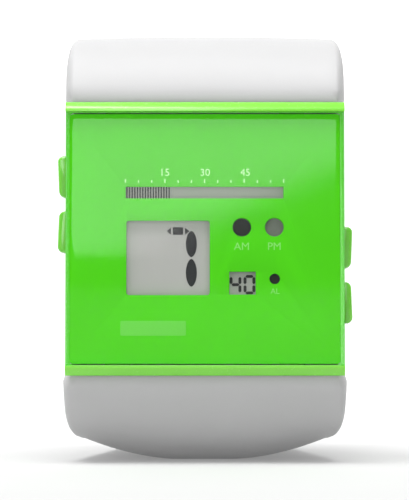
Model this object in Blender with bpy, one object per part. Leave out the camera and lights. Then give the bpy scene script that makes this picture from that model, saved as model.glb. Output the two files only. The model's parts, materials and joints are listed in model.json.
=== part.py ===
"""Wrist-worn round timer: a square digital case on a wide moulded strap, standing on the strap, unbuckled.

World frame: +X to the wearer's right of the face, +Y from the face towards the back, +Z up, floor at z = 0.
The case has its own frame, which leans back a little. In it x is across the face, v is the depth behind
the front of the lens and u is up the face, and a mesh there has coordinates (x, v, u).
All sizes are in millimetres, and become metres where a mesh is made.
"""

import math

import bmesh
import bpy
from mathutils import Matrix, Vector

MM = 0.001

# Driving sizes of the case
CASE_HALF_WIDTH = 19.0
CASE_HALF_HEIGHT = 18.65
CASE_CENTRE_Z = 30.85
OVERALL_HEIGHT = 58.85
LEAN = math.radians(4.0)
TOUCH = 0.3  # gap between pieces that touch

# The face
LENS_RADIUS = 90.0
LENS_HALF_WIDTH = 18.85
LENS_HALF_HEIGHT = 17.1
LENS_BACK_V = 2.6
RIM_INNER_U = 17.35
RIM_FRONT_V = 1.75
LIP_V = 2.8
SIDE_WALL_V = 2.9
MASK_V = (2.9, 3.5)
SEAT_V = 3.8

# Windows in the mask: low corner, high corner, as (x, u)
BAR_WINDOW = ((-10.85, 5.45), (10.72, 7.13))
HOUR_WINDOW = ((-10.74, -7.73), (0.68, 2.5))
MINUTE_WINDOW = ((3.26, -7.67), (6.93, -4.46))
ROUND_WINDOWS = ((5.01, 1.55, 1.31), (9.43, 1.55, 1.31), (9.48, -5.49, 0.76))

# Strap hinges
HINGE_RADIUS = 3.1
HINGE_GAP = 0.25
STRAP_FALL = math.radians(22.0)  # how far the strap's start turns back from the case's plane
LIP_ANGLE = math.radians(33.0)  # where the lip ends, which leaves the strap 30 degrees of swing
LUG_X = (10.4, 13.4)
LUG_RADIUS = 1.7
BAR_RADIUS = 0.9

# Inside the case
CAVITY_HALF = (15.4, 14.8)
CAVITY_CORNER = 4.0
LEDGE_V = 10.5
BACK_HALF = (17.0, 15.8)
BACK_V = (11.15, 12.1)
HOUSING_BACK_V = 11.9
SCREW_AT = (14.9, 13.7)

# Buttons: the side they are on, and their height on the face
BUTTONS = {
    "upper_left": (-1, 8.6),
    "lower_left": (-1, 1.07),
    "upper_right": (1, -1.07),
    "lower_right": (1, -8.6),
}
BUTTON_V = 6.2
BUTTON_TALL = 5.7
BUTTON_DEEP = 3.6
BUTTON_OUT = 1.05
BUTTON_SLANT = 0.1
CAP_INNER_X = 18.5
POCKET_X = 17.8
SPRING_SEAT_X = 17.0
STEM_RADIUS = 0.9
STEM_END_X = 14.75
GROOVE_RADIUS = 0.5
ORING_X = 16.65
CLIP_X = (15.1, 15.3)

# Straps: thickness, half width and crown at stations along the outer surface, from the hinge
LOWER_REST = 28.0
LOWER_CURL = 25.0
LOWER_TAIL = 20.0
UPPER_BACK = 24.0
UPPER_END = 20.0
LOWER_WIDTHS = ((0, 19.4), (8, 19.15), (14, 18.3), (20, 17.7), (40, 13.8), (64, 10.8), (200, 10.8))
UPPER_WIDTHS = ((0, 19.1), (6, 19.1), (12, 18.75), (17, 18.0), (30, 15.0), (50, 11.0), (200, 11.0))
LOWER_THICK = ((0, 6.2), (4, 5.0), (14, 3.6), (60, 2.6), (200, 2.6))
UPPER_THICK = ((0, 6.2), (4, 5.0), (12, 3.6), (50, 3.0), (200, 3.0))
LOWER_CROWN = ((0, 0.0), (16, 1.0), (200, 1.0))
UPPER_CROWN = ((0, 0.0), (13, 0.07), (18, 0.12), (36, 1.0), (46, 0.0), (200, 0.0))
CROWN_FLAT = 4.0
CROWN_SCALE = 0.0335
CROWN_POWER = 1.75
INNER_CROWN = 0.4
TIP_LENGTH = 10.0
TAIL_HOLES = 7
TAIL_HOLE_PITCH = 6.0
TAIL_HOLE_RADIUS = 1.1

# Buckle and keeper, hung from the end of the upper strap
BUCKLE_INNER_X = 11.3
BUCKLE_OUTER_X = 13.2
BUCKLE_LENGTH = 10.8
CROSSBAR = 2.2
BUCKLE_THICK = 2.0
BUCKLE_BAR_RADIUS = 0.75
BUCKLE_BAR_UP = 1.7
TONGUE_HALF = 1.0
KEEPER_LENGTH = 5.5
KEEPER_CENTRE_UP = 13.3
KEEPER_ROOM = 2.9
KEEPER_WALL = 1.2

ROUND = 16  # sides of a small round piece


def clear_scene():
    for obj in list(bpy.data.objects):
        bpy.data.objects.remove(obj)


def material(name, colour, roughness, metallic=0.0, transmission=0.0):
    made = bpy.data.materials.new(name)
    made.use_nodes = True
    shader = made.node_tree.nodes["Principled BSDF"]
    shader.inputs["Base Color"].default_value = (*colour, 1.0)
    shader.inputs["Roughness"].default_value = roughness
    shader.inputs["Metallic"].default_value = metallic
    shader.inputs["Transmission Weight"].default_value = transmission
    return made


def make_materials():
    return {
        "green": material("green_plastic", (0.11, 0.68, 0.0), 0.25),
        "clear": material("clear_plastic", (1.0, 1.0, 1.0), 0.04, transmission=1.0),
        "strap": material("strap_rubber", (0.82, 0.82, 0.83), 0.5),
        "steel": material("steel", (0.62, 0.62, 0.6), 0.28, metallic=1.0),
        "brass": material("brass", (0.72, 0.52, 0.22), 0.3, metallic=1.0),
        "board": material("board", (0.02, 0.16, 0.07), 0.5),
        "display": material("display_glass", (0.48, 0.47, 0.48), 0.2),
        "film": material("backlight_film", (0.75, 0.85, 0.8), 0.5),
        "rubber": material("black_rubber", (0.03, 0.03, 0.03), 0.6),
        "frame": material("white_frame", (0.75, 0.75, 0.72), 0.5),
        "chip": material("epoxy", (0.02, 0.02, 0.02), 0.35),
    }


def finish(name, mesh, parent, surface):
    """An object of this mesh, smooth where it is round, in the parent's frame."""
    obj = bpy.data.objects.new(name, mesh)
    bpy.context.scene.collection.objects.link(obj)
    obj.parent = parent
    if surface is not None:
        mesh.materials.append(surface)
    mesh.shade_smooth()
    mesh.set_sharp_from_angle(angle=math.radians(32.0))
    return obj


def mesh_from(name, bm):
    bmesh.ops.recalc_face_normals(bm, faces=bm.faces)
    mesh = bpy.data.meshes.new(name)
    bm.to_mesh(mesh)
    bm.free()
    return mesh


def prism(outline, axis, low, high):
    """A mesh of the outline pushed along x, y or z. The outline's two numbers are the other two axes, in order."""
    place = {
        "x": lambda a, b, t: (t, a, b),
        "y": lambda a, b, t: (a, t, b),
        "z": lambda a, b, t: (a, b, t),
    }[axis]
    bm = bmesh.new()
    ends = []
    for t in (low, high):
        ends.append([bm.verts.new(Vector(place(a, b, t)) * MM) for a, b in outline])
    bm.faces.new(ends[0])
    bm.faces.new(reversed(ends[1]))
    count = len(outline)
    for i in range(count):
        j = (i + 1) % count
        bm.faces.new((ends[0][i], ends[1][i], ends[1][j], ends[0][j]))
    return mesh_from("prism", bm)


def arc(centre, radius, start, end, steps):
    """Points of an arc between two angles in radians, both ends included."""
    angles = [start + (end - start) * i / steps for i in range(steps + 1)]
    return [(centre[0] + radius * math.cos(a), centre[1] + radius * math.sin(a)) for a in angles]


def circle(centre, radius, sides=ROUND):
    return arc(centre, radius, 0.0, 2 * math.pi, sides)[:-1]


def rectangle(low, high):
    return [(low[0], low[1]), (high[0], low[1]), (high[0], high[1]), (low[0], high[1])]


def rounded(low, high, radius, steps=3):
    """A rectangle with round corners, as an outline."""
    corners = (
        ((high[0] - radius, high[1] - radius), 0.0),
        ((low[0] + radius, high[1] - radius), 0.5),
        ((low[0] + radius, low[1] + radius), 1.0),
        ((high[0] - radius, low[1] + radius), 1.5),
    )
    points = []
    for centre, turn in corners:
        points += arc(centre, radius, turn * math.pi, (turn + 0.5) * math.pi, steps)
    return points


def cut_corners(half, corner):
    """A centred rectangle with its corners cut off at 45 degrees."""
    a, b = half
    points = [(a, b - corner), (a - corner, b), (corner - a, b), (-a, b - corner)]
    return points + [(-p[0], -p[1]) for p in points]


def revolve(profile, sides):
    """A closed turned solid about the x axis, from (along, radius) points of its closed section."""
    bm = bmesh.new()
    rings = []
    for i in range(sides):
        a = 2 * math.pi * i / sides
        rings.append([bm.verts.new(Vector((x, r * math.cos(a), r * math.sin(a))) * MM) for x, r in profile])
    count = len(profile)
    for i in range(sides):
        near, far = rings[i], rings[(i + 1) % sides]
        for k in range(count):
            m = (k + 1) % count
            bm.faces.new((near[k], far[k], far[m], near[m]))
    return mesh_from("turned", bm)


def boolean(target, other, operation):
    """Cuts other from target, or joins it. Other is a helper and isn't a part."""
    other.hide_render = True
    other.display_type = "WIRE"
    step = target.modifiers.new(operation.lower(), "BOOLEAN")
    step.operation = operation
    step.solver = "EXACT"
    step.object = other


def helper(mesh, parent):
    return finish("helper", mesh, parent, None)


def cut(target, *meshes):
    for mesh in meshes:
        boolean(target, helper(mesh, target.parent), "DIFFERENCE")


def join(target, *meshes):
    for mesh in meshes:
        boolean(target, helper(mesh, target.parent), "UNION")


def moved(mesh, offset):
    mesh.transform(Matrix.Translation(Vector(offset) * MM))
    return mesh


def interpolate(stations, at):
    """The value at a length along a list of (length, value), eased between neighbours."""
    for (a, low), (b, high) in zip(stations, stations[1:]):
        if at <= b:
            t = max(0.0, (at - a) / (b - a))
            return low + (high - low) * t
    return stations[-1][1]


# ---------------------------------------------------------------- where the hinges are


def hinge_in_case():
    """(v, u) of the upper hinge's axis, from where the case's lip ends."""
    reach = HINGE_RADIUS + HINGE_GAP
    along = (math.sin(STRAP_FALL), math.cos(STRAP_FALL))
    outward = (-math.cos(STRAP_FALL), math.sin(STRAP_FALL))
    c, s = math.cos(LIP_ANGLE), math.sin(LIP_ANGLE)
    v = LIP_V - reach * (c * outward[0] - s * along[0])
    u = CASE_HALF_HEIGHT - reach * (c * outward[1] - s * along[1])
    return v, u


HINGE_V, HINGE_U = hinge_in_case()


def bend_radius(height, start):
    """Radius of the arc that turns from this heading to level while it covers this height."""
    return height / (1.0 - math.cos(start))


LOWER_START = math.pi / 2 - (STRAP_FALL - LEAN)
UPPER_START = math.pi / 2 - (STRAP_FALL + LEAN)
HINGE_RISE = HINGE_U * math.cos(LEAN)
HINGE_SINK = HINGE_V * math.sin(LEAN)
LOWER_BEND = bend_radius(
    CASE_CENTRE_Z - HINGE_RISE - HINGE_SINK - HINGE_RADIUS * math.cos(LOWER_START), LOWER_START
)
UPPER_BEND = bend_radius(
    OVERALL_HEIGHT - CASE_CENTRE_Z - HINGE_RISE + HINGE_SINK - HINGE_RADIUS * math.cos(UPPER_START),
    UPPER_START,
)


def lower_path():
    """Turtle steps of the lower strap's outer surface: (length, turn in radians)."""
    start = LOWER_START
    return [
        (LOWER_BEND * start, start),
        (LOWER_REST, 0.0),
        (LOWER_CURL * math.radians(96.0), math.radians(96.0)),
        (LOWER_TAIL, 0.0),
    ]


def upper_path():
    start = UPPER_START
    return [
        (UPPER_BEND * start, start),
        (UPPER_BACK * math.pi / 2, math.pi / 2),
        (UPPER_END, 0.0),
    ]


def case_y():
    """Where the case's origin is in y, so that the whole object is centred on the world's origin."""
    front = -(LENS_RADIUS - LENS_RADIUS * math.cos(LEAN))
    fall = STRAP_FALL - LEAN
    hinge = HINGE_V * math.cos(LEAN) - HINGE_U * math.sin(LEAN)
    start = hinge - HINGE_RADIUS * math.cos(fall)
    back = start + LOWER_BEND * math.cos(fall) + LOWER_REST + LOWER_CURL
    return -(front + back) / 2


CASE_Y = case_y()


def world_of(v, u):
    """World (y, z) of a point of the case at depth v and height u."""
    c, s = math.cos(LEAN), math.sin(LEAN)
    return CASE_Y + v * c + u * s, CASE_CENTRE_Z + u * c - v * s


UPPER_HINGE = world_of(HINGE_V, HINGE_U)
LOWER_HINGE = world_of(HINGE_V, -HINGE_U)


class StrapPath:
    """The centre line of a strap's outer surface in the (y, z) plane, relative to its hinge."""

    def __init__(self, side, steps):
        self.side = side  # +1 for the upper strap, -1 for the lower one
        self.steps = steps
        self.angle = side * (math.pi / 2 - STRAP_FALL) - LEAN
        self.length = sum(length for length, _ in steps)

    def outward(self, angle):
        return -self.side * math.sin(angle), self.side * math.cos(angle)

    def at(self, s):
        """(y, z, outward y, outward z) at this length from the hinge."""
        angle = self.angle
        out = self.outward(angle)
        y, z = out[0] * HINGE_RADIUS, out[1] * HINGE_RADIUS
        for length, turn in self.steps:
            part = min(s, length) if length else 0.0
            bend = -self.side * turn * part / length
            if abs(bend) > 1e-9:
                radius = part / bend
                y += radius * (math.sin(angle + bend) - math.sin(angle))
                z -= radius * (math.cos(angle + bend) - math.cos(angle))
            else:
                y += part * math.cos(angle)
                z += part * math.sin(angle)
            angle += bend
            s -= part
            if s <= 1e-9:
                break
        return (y, z, *self.outward(angle))


# ---------------------------------------------------------------- straps


ROW = (-1.0, -0.82, -0.6, -0.4, -0.22, 0.22, 0.4, 0.6, 0.82, 1.0)


def crown(x):
    """How far the outer surface falls away at this distance from the strap's middle."""
    return CROWN_SCALE * max(0.0, abs(x) - CROWN_FLAT) ** CROWN_POWER


def strap_ring(path, s, width, thick, bulge):
    """Points of the strap's cross-section: the outer row, one edge, the inner row back, the other edge."""
    y, z, fy, fz = path.at(s)
    edge = min(0.7, thick / 3)

    def point(x, depth):
        return Vector((x, y - fy * depth, z - fz * depth)) * MM

    outer = [(r * (width - edge)) for r in ROW]
    drop = bulge * crown(width - edge)
    middle = (drop + thick + INNER_CROWN * drop) / 2
    ring = [point(x, bulge * crown(x)) for x in outer]
    ring.append(point(width, middle))
    ring += [point(x, thick + INNER_CROWN * bulge * crown(x)) for x in reversed(outer)]
    ring.append(point(-width, middle))
    return ring


def strap_mesh(path, widths, thicks, crowns, spacing, tip):
    """A strap lofted along its path, round at the hinge. Its origin is the hinge's axis."""
    bm = bmesh.new()
    count = round(path.length / spacing)
    stations = [path.length * i / count for i in range(count + 1)]
    if tip:
        last = stations[-1]
        stations = [s for s in stations if s < last - tip]
        stations += [last - tip * (1 - math.sin(t * math.pi / 12)) for t in range(6)]
        stations.append(last - tip * 0.003)
    rings = []
    for s in stations:
        width = interpolate(widths, s)
        past = (s - (path.length - tip)) / tip if tip else 0.0
        if past > 0:
            width *= math.sqrt(max(0.0, 1 - past**2)) * 0.94 + 0.06
        ring = strap_ring(path, s, width, interpolate(thicks, s), interpolate(crowns, s))
        rings.append([bm.verts.new(p) for p in ring])
    total = len(rings[0])
    for near, far in zip(rings, rings[1:]):
        for i in range(total):
            j = (i + 1) % total
            bm.faces.new((near[i], near[j], far[j], far[i]))
    bm.faces.new(rings[-1])
    close_knuckle(bm, path, rings[0])
    return mesh_from("strap", bm)


def close_knuckle(bm, path, ring):
    """The half round end about the hinge's axis, from the outer row round to the inner row."""
    row = len(ROW)
    steps = 10
    _, _, fy, fz = path.at(0.0)
    start = math.atan2(fz, fy)
    sheets = []
    for k in range(row):
        inner = ring[row + 1 + (row - 1 - k)]
        line = [ring[k]]
        for n in range(1, steps):
            a = start + path.side * math.pi * n / steps
            p = Vector((ring[k].co.x / MM, HINGE_RADIUS * math.cos(a), HINGE_RADIUS * math.sin(a)))
            line.append(bm.verts.new(p * MM))
        sheets.append(line + [inner])
    for left, right in zip(sheets, sheets[1:]):
        for n in range(steps):
            bm.faces.new((left[n], right[n], right[n + 1], left[n + 1]))
    for sheet, middle in ((sheets[0], ring[-1]), (sheets[-1], ring[row])):
        for n in range(steps):
            bm.faces.new((sheet[n], sheet[n + 1], middle))


def cut_knuckle(strap, path):
    """The bore for the spring bar, and a pocket round each of the case's lugs."""
    y, z, fy, fz = path.at(0.0)
    dy, dz = path.side * fz, -path.side * fy  # along the strap, away from the case

    def local(d, f):
        return d * dy + f * fy, d * dz + f * fz

    room = LUG_RADIUS + 0.35
    bore = circle((0, 0), BAR_RADIUS + 0.1)
    cut(strap, prism(bore, "x", -LUG_X[0], LUG_X[0]))
    mouth = [local(0, room - 0.05), local(-3.8, room - 0.15), local(-3.8, -3.8), local(0, -3.8)]
    for side in (-1, 1):
        low, high = sorted((side * (LUG_X[0] - TOUCH), side * (LUG_X[1] + TOUCH)))
        cut(strap, prism(circle((0, 0), room), "x", low, high))
        cut(strap, prism(mouth, "x", low, high))


def make_lower_strap(hinge, look):
    path = StrapPath(-1, lower_path())
    mesh = strap_mesh(path, LOWER_WIDTHS, LOWER_THICK, LOWER_CROWN, 3.4, TIP_LENGTH)
    strap = finish("strap_lower", mesh, hinge, look["strap"])
    cut_knuckle(strap, path)
    for i in range(TAIL_HOLES):
        y, z, fy, fz = path.at(path.length - 13.0 - i * TAIL_HOLE_PITCH)
        hole = prism(circle((0, 0), TAIL_HOLE_RADIUS, 10), "z", -6.0, 4.0)
        hole.transform(Vector((0, 0, 1)).rotation_difference(Vector((0, fy, fz))).to_matrix().to_4x4())
        cut(strap, moved(hole, (0, y, z)))
    return strap


def make_upper_strap(hinge, look):
    """The upper strap, and where its end is: (y, z) of the middle of its thickness, from the hinge."""
    path = StrapPath(1, upper_path())
    mesh = strap_mesh(path, UPPER_WIDTHS, UPPER_THICK, UPPER_CROWN, 3.6, 0.0)
    strap = finish("strap_upper", mesh, hinge, look["strap"])
    cut_knuckle(strap, path)
    y, z, fy, _ = path.at(path.length)
    middle = (y - fy * UPPER_THICK[-1][1] / 2, z)
    bar = (middle[0], middle[1] + BUCKLE_BAR_UP)
    cut(strap, prism(circle(bar, BUCKLE_BAR_RADIUS + 0.1), "x", -14.0, 14.0))
    slot = rectangle((bar[0] - 3.0, bar[1] - 3.0), (bar[0] + 3.0, bar[1] + 3.4))
    cut(strap, prism(slot, "x", -TONGUE_HALF - 0.6, TONGUE_HALF + 0.6))
    return strap, bar


# ---------------------------------------------------------------- buckle and keeper


def make_buckle(strap_hinge, buckle_hinge, tongue_hinge, bar, look):
    """Frame, tongue and bar. The two hinges are empties on the bar's axis; bar is its place from strap_hinge."""
    pin = prism(circle(bar, BUCKLE_BAR_RADIUS), "x", -BUCKLE_OUTER_X + 0.7, BUCKLE_OUTER_X - 0.7)
    finish("buckle_spring_bar", pin, strap_hinge, look["steel"])

    top = 1.5
    half = BUCKLE_THICK / 2
    outer = rounded((-BUCKLE_OUTER_X, -BUCKLE_LENGTH), (BUCKLE_OUTER_X, 12.0), 2.4, 4)
    frame = finish("buckle_frame", prism(outer, "y", -half, half), buckle_hinge, look["steel"])
    inner = rounded((-BUCKLE_INNER_X, CROSSBAR - BUCKLE_LENGTH), (BUCKLE_INNER_X, 16.0), 1.0, 3)
    cut(frame, prism(inner, "y", -3.0, 3.0))
    cut(frame, prism(rectangle((-20.0, top), (20.0, 20.0)), "y", -3.0, 3.0))
    hole = circle((0, 0), BUCKLE_BAR_RADIUS + 0.1)
    cut(frame, prism(hole, "x", 0.5 - BUCKLE_OUTER_X, BUCKLE_OUTER_X - 0.5))

    lift = half + 0.1
    side = arc((0, 0), 1.5, math.radians(95), math.radians(265), 8)
    side += [(0.6, -3.6), (lift, -6.2), (lift, -BUCKLE_LENGTH - 0.1), (lift + 0.7, -BUCKLE_LENGTH - 0.1)]
    side += [(lift + 1.1, -BUCKLE_LENGTH + 0.6), (lift + 1.1, -6.0), (1.5, -1.6)]
    side += arc((0, 0), 1.5, math.radians(0), math.radians(70), 3)
    tongue = finish("buckle_tongue", prism(side, "x", -TONGUE_HALF, TONGUE_HALF), tongue_hinge, look["steel"])
    cut(tongue, prism(circle((0, 0), BUCKLE_BAR_RADIUS + 0.1), "x", -3.0, 3.0))


def make_keeper(place, look):
    """A loose loop round the straight end of the upper strap, with room for the lower strap's tail."""
    half = UPPER_WIDTHS[-1][1] + 0.25
    inner_y = (-UPPER_THICK[-1][1] / 2 - 0.25, UPPER_THICK[-1][1] / 2 + KEEPER_ROOM)
    low, high = -KEEPER_LENGTH / 2, KEEPER_LENGTH / 2
    wall = KEEPER_WALL
    outer = rounded((-half - wall, inner_y[0] - wall), (half + wall, inner_y[1] + wall), 1.6)
    keeper = finish("keeper_loop", prism(outer, "z", low, high), place, look["strap"])
    cut(keeper, prism(rounded((-half, inner_y[0]), (half, inner_y[1]), 0.6), "z", low - 1, high + 1))


# ---------------------------------------------------------------- case


def housing_side():
    """(v, u) outline of the housing, seen from its side."""
    reach = HINGE_RADIUS + HINGE_GAP
    lip = math.atan2(CASE_HALF_HEIGHT - HINGE_U, LIP_V - HINGE_V) % (2 * math.pi)
    hollow = arc((HINGE_V, HINGE_U), reach, lip, math.radians(340.0), 12)
    upper = [(SIDE_WALL_V, RIM_INNER_U), (RIM_FRONT_V, RIM_INNER_U)]
    upper += [(RIM_FRONT_V + 0.05, RIM_INNER_U + 0.35)]
    upper += hollow
    upper += [(HOUSING_BACK_V - 0.9, CASE_HALF_HEIGHT - 1.1), (HOUSING_BACK_V, CASE_HALF_HEIGHT - 1.6)]
    return upper + [(v, -u) for v, u in reversed(upper)]


def lug_side(sign):
    """(v, u) outline of a hinge lug: round about the hinge's axis, with an arm into the case's end wall."""
    wall = HINGE_U - HINGE_RADIUS - 0.9
    nose = arc((HINGE_V, HINGE_U), LUG_RADIUS, math.radians(-30.0), math.radians(180.0), 9)
    points = nose + [(HINGE_V - 0.9, wall), (HINGE_V + 1.6, wall)]
    return [(v, sign * u) for v, u in points]


def windows():
    """Outlines of the face's windows, as (x, u)."""
    shapes = [
        rounded(*BAR_WINDOW, 0.12, 1),
        rounded(*HOUR_WINDOW, 0.4),
        rounded(*MINUTE_WINDOW, 0.12, 1),
    ]
    return shapes + [circle((x, u), r, 20) for x, u, r in ROUND_WINDOWS]


def make_housing(case, look):
    w = CASE_HALF_WIDTH
    housing = finish("case_housing", prism(housing_side(), "x", -w, w), case, look["green"])
    mask_bed = rounded((-w + 0.6, -RIM_INNER_U + 0.15), (w - 0.6, RIM_INNER_U - 0.15), 0.5, 2)
    cut(housing, prism(mask_bed, "y", SIDE_WALL_V - 1.0, SEAT_V))
    cut(housing, prism(cut_corners(CAVITY_HALF, CAVITY_CORNER), "y", SEAT_V - 0.5, LEDGE_V + 0.5))
    back = (BACK_HALF[0] + TOUCH, BACK_HALF[1] + TOUCH)
    cut(housing, prism(rounded((-back[0], -back[1]), back, 2.3), "y", LEDGE_V, HOUSING_BACK_V + 1.0))
    for sign in (-1, 1):
        for side in (-1, 1):
            low, high = sorted((side * LUG_X[0], side * LUG_X[1]))
            join(housing, prism(lug_side(sign), "x", low, high))
            hole = circle((HINGE_V, sign * HINGE_U), BAR_RADIUS / 2 + 0.1, 10)
            low, high = sorted((side * (LUG_X[0] - 1.0), side * (LUG_X[1] - 0.6)))
            cut(housing, prism(hole, "x", low, high))
    for side, u in BUTTONS.values():
        cut_button_hole(housing, side, u)
    for x in (-SCREW_AT[0], SCREW_AT[0]):
        for u in (-SCREW_AT[1], SCREW_AT[1]):
            cut(housing, prism(circle((x, u), 0.6, 10), "y", 7.4, LEDGE_V + 0.5))


def cut_button_hole(housing, side, u):
    """A pocket for the cap, a seat for the spring and a bore for the stem."""
    pocket = rounded(
        (BUTTON_V - BUTTON_DEEP / 2 - 0.2, u - BUTTON_TALL / 2 - 0.2),
        (BUTTON_V + BUTTON_DEEP / 2 + 0.2, u + BUTTON_TALL / 2 + 0.2),
        0.5,
    )
    cuts = (
        (pocket, POCKET_X, CASE_HALF_WIDTH + 1.0),
        (circle((BUTTON_V, u), 1.5), SPRING_SEAT_X, POCKET_X + 0.5),
        (circle((BUTTON_V, u), STEM_RADIUS + 0.15), CAVITY_HALF[0] - 1.0, SPRING_SEAT_X + 0.5),
    )
    for outline, near, far in cuts:
        low, high = sorted((side * near, side * far))
        cut(housing, prism(outline, "x", low, high))


def make_lens(case, look):
    """Clear lens: flat at the back, and curved over its height in front."""
    h, edge = LENS_HALF_HEIGHT, 0.5
    steps = 16
    curve = []
    for i in range(steps + 1):
        u = -h + 2 * h * i / steps
        curve.append((LENS_RADIUS - math.sqrt(LENS_RADIUS**2 - u**2), u))
    outline = curve + [(LENS_BACK_V, h), (LENS_BACK_V, -h)]
    lens = finish("crystal_lens", prism(outline, "x", -LENS_HALF_WIDTH, LENS_HALF_WIDTH), case, look["clear"])
    for side in (-1, 1):
        x = side * LENS_HALF_WIDTH
        corner = [(x + side, -1.0), (x + side, 0.4 + edge * 2), (x, 0.4 + edge), (x - side * 1.2, -1.0)]
        cut(lens, prism(corner, "z", -h - 1, h + 1))


def make_mask(case, look):
    low = (-CASE_HALF_WIDTH + 0.9, -RIM_INNER_U + 0.45)
    high = (-low[0], -low[1])
    mask = finish("face_mask", prism(rounded(low, high, 0.4, 2), "y", *MASK_V), case, look["green"])
    for outline in windows():
        cut(mask, prism(outline, "y", MASK_V[0] - 1, MASK_V[1] + 1))


def plate(name, outline, depth, case, surface):
    return finish(name, prism(outline, "y", *depth), case, surface)


def make_module(case, look):
    """Everything between the mask and the battery cover."""
    plate("lcd_panel", rectangle((-12.3, -10.6), (12.3, 9.8)), (3.8, 5.2), case, look["display"])
    plate("backlight_film", rectangle((-12.0, -8.9), (12.0, 8.1)), (5.5, 5.9), case, look["film"])
    for name, u in (("zebra_strip_upper", 8.5), ("zebra_strip_lower", -10.3)):
        plate(name, rectangle((-12.0, u), (12.0, u + 1.0)), (5.5, 6.8), case, look["rubber"])
    plate("circuit_board", cut_corners((12.4, 12.2), 1.8), (7.1, 7.9), case, look["board"])
    frame = plate("module_frame", cut_corners((13.3, 13.3), 2.0), (4.1, 10.0), case, look["frame"])
    cut(frame, prism(cut_corners((12.65, 12.5), 1.4), "y", 3.0, 11.0))
    timer = plate("timer_chip", circle((-5.0, 2.0), 2.6, 20), (6.2, 6.9), case, look["chip"])
    timer.modifiers.new("round_top", "BEVEL").width = 0.3 * MM
    can = revolve([(-2.5, 0.01), (-2.5, 0.7), (2.5, 0.7), (2.5, 0.01)], 12)
    finish("quartz_can", moved(can, (9.0, 8.9, -10.0)), case, look["steel"])
    plate("coin_cell", circle((-2.2, -1.8), 9.9, 32), (8.2, 9.8), case, look["steel"])
    spring_plate = [(8.2, -12.0), (9.75, -12.0), (10.1, -11.65), (10.1, 9.6), (9.8, 10.3), (8.2, 10.3)]
    spring_plate += [(8.2, 10.5), (10.0, 10.5), (10.3, 9.9), (10.3, -11.9), (9.9, -12.2), (8.2, -12.2)]
    finish("battery_clip", prism(spring_plate, "x", -4.6, 0.2), case, look["steel"])
    plate("piezo_disc", circle((9.0, 6.9), 4.9, 24), (10.55, 10.85), case, look["brass"])
    coil("buzzer_spring", case, look["brass"], (10.4, 8.2, 9.4), (0, 2.05, 0), 0.55, 0.09, 4, 8)
    for side, name in ((-1, "key_contact_left"), (1, "key_contact_right")):
        x, back = side * 13.95, side * 13.6
        leaf = [(x, -11.0), (x, 11.0), (back, 11.2), (back, 11.0), (x - side * 0.15, 10.85)]
        leaf += [(x - side * 0.15, -10.85), (back, -11.0), (back, -11.2)]
        plate(name, leaf, (5.0, 7.4), case, look["brass"])


def make_back(case, look):
    """The cover, its seal and its screws."""
    a, b = BACK_HALF
    cover = plate("case_back", rounded((-a, -b), (a, b), 2.0, 4), BACK_V, case, look["steel"])
    outer, inner = (16.6, 15.5), (15.95, 15.0)
    seal = plate("back_gasket", cut_corners(outer, 1.2), (10.6, 11.05), case, look["rubber"])
    cut(seal, prism(cut_corners(inner, 1.0), "y", 10.0, 12.0))
    spots = [(x, u) for u in (SCREW_AT[1], -SCREW_AT[1]) for x in (-SCREW_AT[0], SCREW_AT[0])]
    for number, (x, u) in enumerate(spots, 1):
        cut(cover, prism(circle((x, u), 0.7, 12), "y", BACK_V[0] - 1, BACK_V[1] + 1))
        cut(cover, prism(circle((x, u), 1.25), "y", BACK_V[0] + 0.4, BACK_V[1] + 1))
        head = [(8.0, 0.01), (8.0, 0.45), (11.65, 0.45), (11.65, 1.1), (12.05, 1.1), (12.05, 0.01)]
        screw_mesh = revolve(head, 12)
        screw_mesh.transform(Matrix.Rotation(math.pi / 2, 4, "Z"))
        screw = finish(f"back_screw_{number}", moved(screw_mesh, (x, 0, u)), case, look["steel"])
        slot = rectangle((x - 0.8, u - 0.14), (x + 0.8, u + 0.14))
        cut(screw, prism(slot, "y", 11.85, 13.0))


def coil(name, parent, surface, start, span, radius, wire, turns, per_turn):
    """A round wire wound from start along span, all in the parent's frame."""
    span = Vector(span)
    along = span.normalized()
    across = along.orthogonal().normalized()
    other = along.cross(across)
    curve = bpy.data.curves.new(name, "CURVE")
    curve.dimensions = "3D"
    curve.bevel_depth = wire * MM
    curve.bevel_resolution = 1
    curve.use_fill_caps = True
    count = round(turns * per_turn)
    spline = curve.splines.new("POLY")
    spline.points.add(count)
    for i, point in enumerate(spline.points):
        a = 2 * math.pi * turns * i / count
        p = Vector(start) + span * i / count + radius * (math.cos(a) * across + math.sin(a) * other)
        point.co = (*(p * MM), 1.0)
    curve.materials.append(surface)
    obj = bpy.data.objects.new(name, curve)
    bpy.context.scene.collection.objects.link(obj)
    obj.parent = parent


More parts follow.
